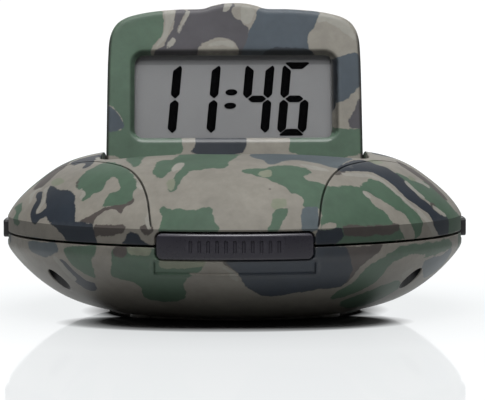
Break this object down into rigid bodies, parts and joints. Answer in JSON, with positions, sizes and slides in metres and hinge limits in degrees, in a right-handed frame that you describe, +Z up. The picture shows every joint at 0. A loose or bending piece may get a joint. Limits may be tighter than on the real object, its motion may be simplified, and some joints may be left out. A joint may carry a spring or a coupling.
{
  "type": "digital alarm clock",
  "caption": "Portable round alarm clock with a flip-up digital display, a front snooze bar, side slide switches and a camouflage-printed two-part case.",
  "frame": {"origin": "centre of the round case on the table plane, under the feet", "axes": "+X to the clock's right as seen from the front, +Y to the rear, +Z up; the display faces -Y"},
  "size_m": [0.1122, 0.1104, 0.0748],
  "materials": {
    "camo_shell": "satin moulded plastic with an all-over printed camouflage pattern",
    "grey_plastic": "satin dark grey moulded plastic",
    "black_plastic": "fine-grained black moulded plastic",
    "rubber": "matt black rubber",
    "board": "green solder mask",
    "steel": "plain zinc-plated steel",
    "brass": "plain brass",
    "cell_jacket": "plain shrink-wrapped cell jacket",
    "clear_lens": "clear polished acrylic",
    "lcd": "grey reflective liquid crystal glass",
    "white_plastic": "milky white diffusing plastic"
  },
  "bodies": {
    "case": {"top_shell": "camo_shell", "bottom_shell": "camo_shell", "snooze_switch": "black_plastic", "key_switch_1": "black_plastic", "key_switch_2": "black_plastic", "key_switch_3": "black_plastic", "key_switch_4": "black_plastic", "controller_chip": "black_plastic", "speaker": "black_plastic", "rubber_foot_1": "rubber", "rubber_foot_2": "rubber", "rubber_foot_3": "rubber", "rubber_foot_4": "rubber", "motor_lead": "rubber", "speaker_lead": "rubber", "display_lead": "rubber", "main_pcb": "board", "keypad_pcb": "board", "case_screw_1": "steel", "case_screw_2": "steel", "case_screw_3": "steel", "case_screw_4": "steel", "pcb_screw_1": "steel", "pcb_screw_2": "steel", "keypad_screw_1": "steel", "keypad_screw_2": "steel", "mode_switch": "steel", "volume_switch": "steel", "vibration_motor": "steel", "motor_bracket": "steel", "battery_spring_front": "steel", "battery_spring_rear": "steel", "battery_bridge_plate": "brass", "battery_positive_plate": "brass", "battery_negative_plate": "brass", "battery_cell_1": "cell_jacket", "battery_cell_2": "cell_jacket"},
    "display": {"display_bezel": "camo_shell", "display_rear_cover": "camo_shell", "display_lens": "clear_lens", "lcd_glass": "lcd", "lcd_light_guide": "white_plastic", "lcd_connector_strip": "rubber", "backlight_led": "white_plastic", "display_pcb": "board", "display_screw_1": "steel", "display_screw_2": "steel", "hinge_pin_right": "steel", "hinge_trunnion_left": "steel"},
    "snooze_bar": {"snooze_button": "grey_plastic"},
    "mode_slider": {"mode_slide_knob": "black_plastic"},
    "volume_slider": {"volume_slide_knob": "black_plastic"},
    "time_key": {"time_button": "grey_plastic"},
    "alarm_key": {"alarm_button": "grey_plastic"},
    "hour_key": {"hour_button": "grey_plastic"},
    "minute_key": {"minute_button": "grey_plastic"},
    "rotor": {"motor_shaft": "steel", "eccentric_weight": "brass"},
    "door": {"battery_door": "camo_shell"}
  },
  "joints": [
    {"name": "display_hinge", "type": "hinge", "parent": "case", "child": "display", "pos_m": [0, 0.0175, 0.034], "axis": [1, 0, 0], "range_deg": [0, 105]},
    {"name": "snooze_press", "type": "slide", "parent": "case", "child": "snooze_bar", "axis": [0, 1, 0], "range_m": [0, 0.0008], "stiffness_N_per_m": 1500},
    {"name": "mode_slide", "type": "slide", "parent": "case", "child": "mode_slider", "axis": [0, 1, 0], "range_m": [-0.0025, 0.0025]},
    {"name": "volume_slide", "type": "slide", "parent": "case", "child": "volume_slider", "axis": [0, 1, 0], "range_m": [-0.0025, 0.0025]},
    {"name": "time_press", "type": "slide", "parent": "case", "child": "time_key", "axis": [0, 0, -1], "range_m": [0, 0.0006], "stiffness_N_per_m": 1500},
    {"name": "alarm_press", "type": "slide", "parent": "case", "child": "alarm_key", "axis": [0, 0, -1], "range_m": [0, 0.0006], "stiffness_N_per_m": 1500},
    {"name": "hour_press", "type": "slide", "parent": "case", "child": "hour_key", "axis": [0, 0, -1], "range_m": [0, 0.0006], "stiffness_N_per_m": 1500},
    {"name": "minute_press", "type": "slide", "parent": "case", "child": "minute_key", "axis": [0, 0, -1], "range_m": [0, 0.0006], "stiffness_N_per_m": 1500},
    {"name": "shaker_spin", "type": "hinge", "parent": "case", "child": "rotor", "pos_m": [-0.027, 0.0094, 0.0098], "axis": [0, 1, 0], "continuous": true},
    {"name": "battery_door_swing", "type": "hinge", "parent": "case", "child": "door", "pos_m": [0, -0.0256, 0.0006], "axis": [-1, 0, 0], "range_deg": [0, 75]}
  ]
}
